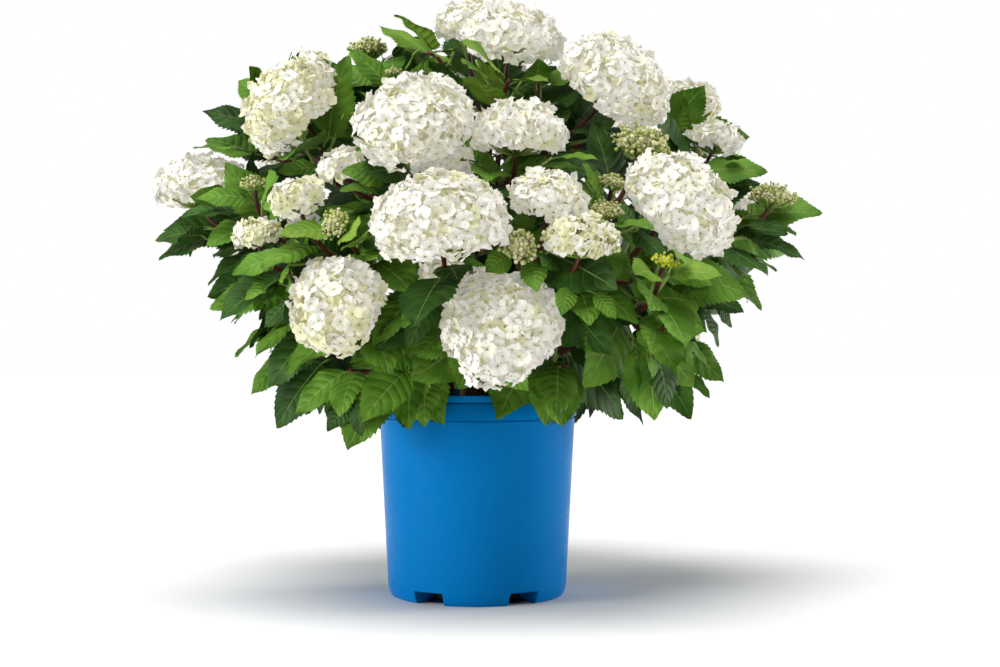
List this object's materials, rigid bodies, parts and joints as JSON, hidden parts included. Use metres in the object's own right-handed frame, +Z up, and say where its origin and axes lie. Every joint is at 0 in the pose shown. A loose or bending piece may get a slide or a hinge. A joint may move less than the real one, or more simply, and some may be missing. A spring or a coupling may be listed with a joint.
{
  "type": "potted hydrangea shrub",
  "caption": "Rounded mophead hydrangea shrub with white flower heads and toothed green leaves on arching canes, growing in a tapered blue nursery pot.",
  "frame": {"origin": "centre of the pot's flat underside", "axes": "+Z up along the pot's axis; -Y to the front of the plant, the side with the fullest blossom; +X to the plant's right as seen from the front"},
  "size_m": [0.7507, 0.7397, 0.6838],
  "materials": {
    "pot": "satin moulded plastic, blue, unprinted",
    "potting_mix": "moist bark and peat potting mix, rough",
    "cane_bark": "old cane bark, tan and peeling",
    "young_bark": "young cane bark, dark red-brown",
    "foliage": "leaves satin green; petals matte warm white; buds matte cream-green"
  },
  "bodies": {
    "root": {"bough_back_high": "young_bark", "bough_back_left_high": "young_bark", "bough_back_right_high": "young_bark", "bough_far_left_low": "young_bark", "bough_front_right": "young_bark", "bough_left": "young_bark", "bough_low_left": "young_bark", "bough_low_right": "young_bark", "bough_right_buds": "young_bark", "bough_right_shoulder": "young_bark", "bough_right_tip": "young_bark", "bough_top_left": "young_bark", "bough_top_right": "young_bark", "bough_upper_left": "young_bark", "cane_back": "cane_bark", "cane_back_left": "cane_bark", "cane_back_right": "cane_bark", "cane_front": "cane_bark", "cane_front_left": "cane_bark", "cane_front_right": "cane_bark", "mass_back_crown": "foliage", "mass_back_high": "foliage", "mass_back_left_high": "foliage", "mass_back_left_low": "foliage", "mass_back_left_middle": "foliage", "mass_back_low": "foliage", "mass_back_middle": "foliage", "mass_back_right_high": "foliage", "mass_back_right_low": "foliage", "mass_back_right_middle": "foliage", "mass_centre": "foliage", "mass_far_left_low": "foliage", "mass_front_right": "foliage", "mass_heart": "foliage", "mass_left": "foliage", "mass_left_crown": "foliage", "mass_left_inner": "foliage", "mass_low_front": "foliage", "mass_low_left": "foliage", "mass_low_right": "foliage", "mass_right": "foliage", "mass_right_buds": "foliage", "mass_right_shoulder": "foliage", "mass_right_tip": "foliage", "mass_rim_left": "foliage", "mass_rim_right": "foliage", "mass_top": "foliage", "mass_top_left": "foliage", "mass_top_right": "foliage", "mass_upper_front": "foliage", "mass_upper_left": "foliage", "pot": "pot", "potting_mix": "potting_mix", "tall_cane_back": "cane_bark", "tall_cane_front": "cane_bark", "tall_cane_left": "cane_bark"}
  },
  "joints": []
}
